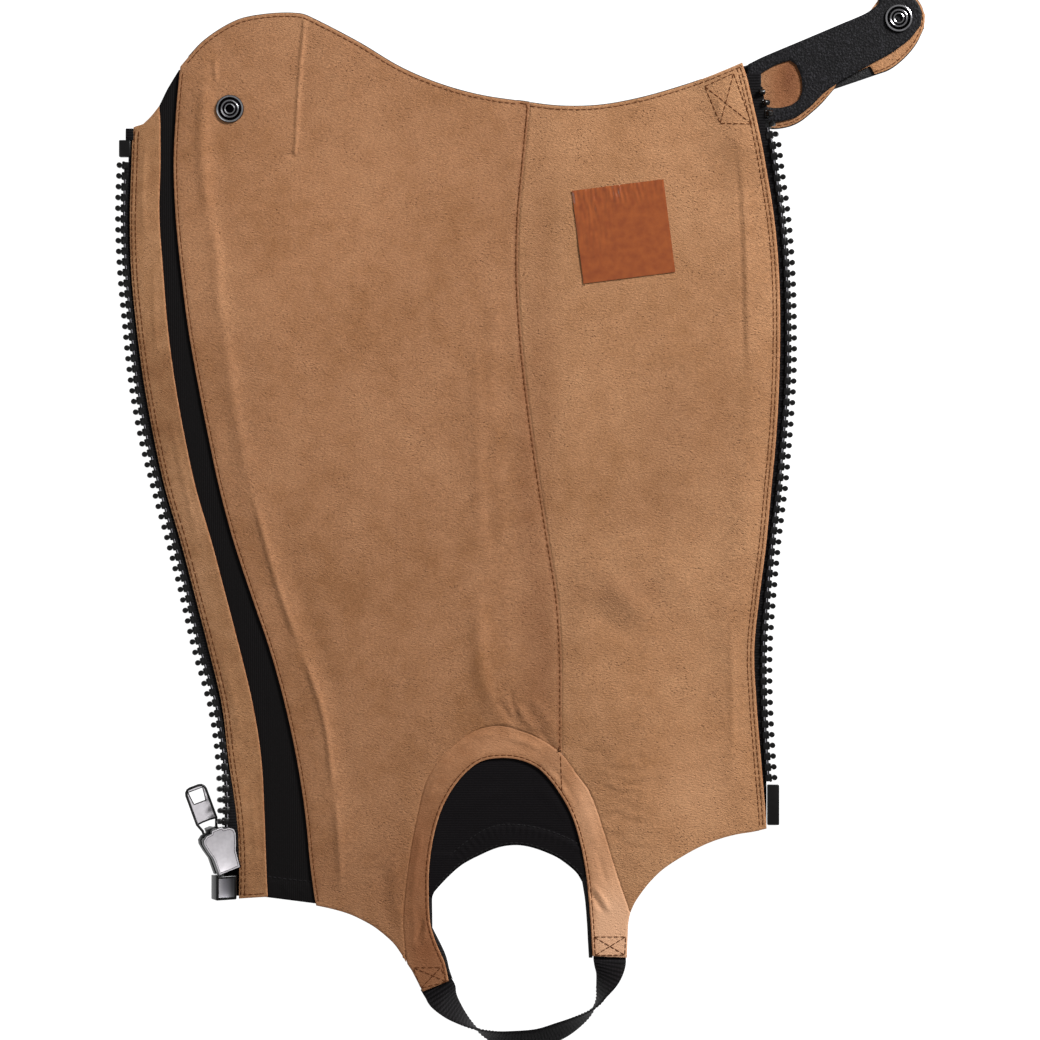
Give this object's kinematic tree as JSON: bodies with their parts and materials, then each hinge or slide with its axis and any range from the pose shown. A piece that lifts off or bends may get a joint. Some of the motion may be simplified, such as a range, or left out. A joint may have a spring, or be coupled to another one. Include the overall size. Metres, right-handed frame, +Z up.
{
  "type": "half chap",
  "caption": "Leather half chap laid open flat, lining side up, with a moulded side zip, an elastic panel, a snap tab at the top and a foot strap below the arch.",
  "frame": {"origin": "middle of the outline, on the surface that the chap lies on", "axes": "+Y up the leg towards the top edge, +X towards the closure tab's side as seen from above, +Z up out of the lining"},
  "size_m": [0.3728, 0.4888, 0.0158],
  "materials": {
    "pigskin": "matt split-grain pigskin, tan",
    "black_leather": "smooth black",
    "stretch_fabric": "black ribbed elastic",
    "zip_tape": "black woven tape",
    "webbing": "black ribbed webbing",
    "moulded_plastic": "black moulded acetal",
    "polished_zinc": "worn silver die casting",
    "gunmetal": "dark nickel",
    "foil": "glossy brown patch, bare"
  },
  "bodies": {
    "chap": {"lining_front": "pigskin", "lining_inside": "pigskin", "arch_facing": "pigskin", "zip_facing": "pigskin", "tab_lining": "pigskin", "outer_front": "black_leather", "outer_inside": "black_leather", "outer_zip_strip": "black_leather", "tab_outer": "black_leather", "tab_backing": "black_leather", "elastic_panel": "stretch_fabric", "arch_gusset": "stretch_fabric", "zip_tape_left": "zip_tape", "zip_tape_right": "zip_tape", "zip_chain_left": "moulded_plastic", "zip_chain_right": "moulded_plastic", "zip_top_stop": "moulded_plastic", "insertion_pin": "moulded_plastic", "retainer_box": "moulded_plastic", "slider": "polished_zinc", "tab_snap": "gunmetal", "snap_stud": "gunmetal", "label_patch": "foil", "foot_strap": "webbing"},
    "pull": {"pull_tab": "polished_zinc"}
  },
  "joints": [
    {"name": "pull_hinge", "type": "hinge", "parent": "chap", "child": "pull", "pos_m": [-0.14158, -0.14492, 0.00401], "axis": [-0.8952, -0.3214, 0.3088], "range_deg": [0, 120]}
  ]
}
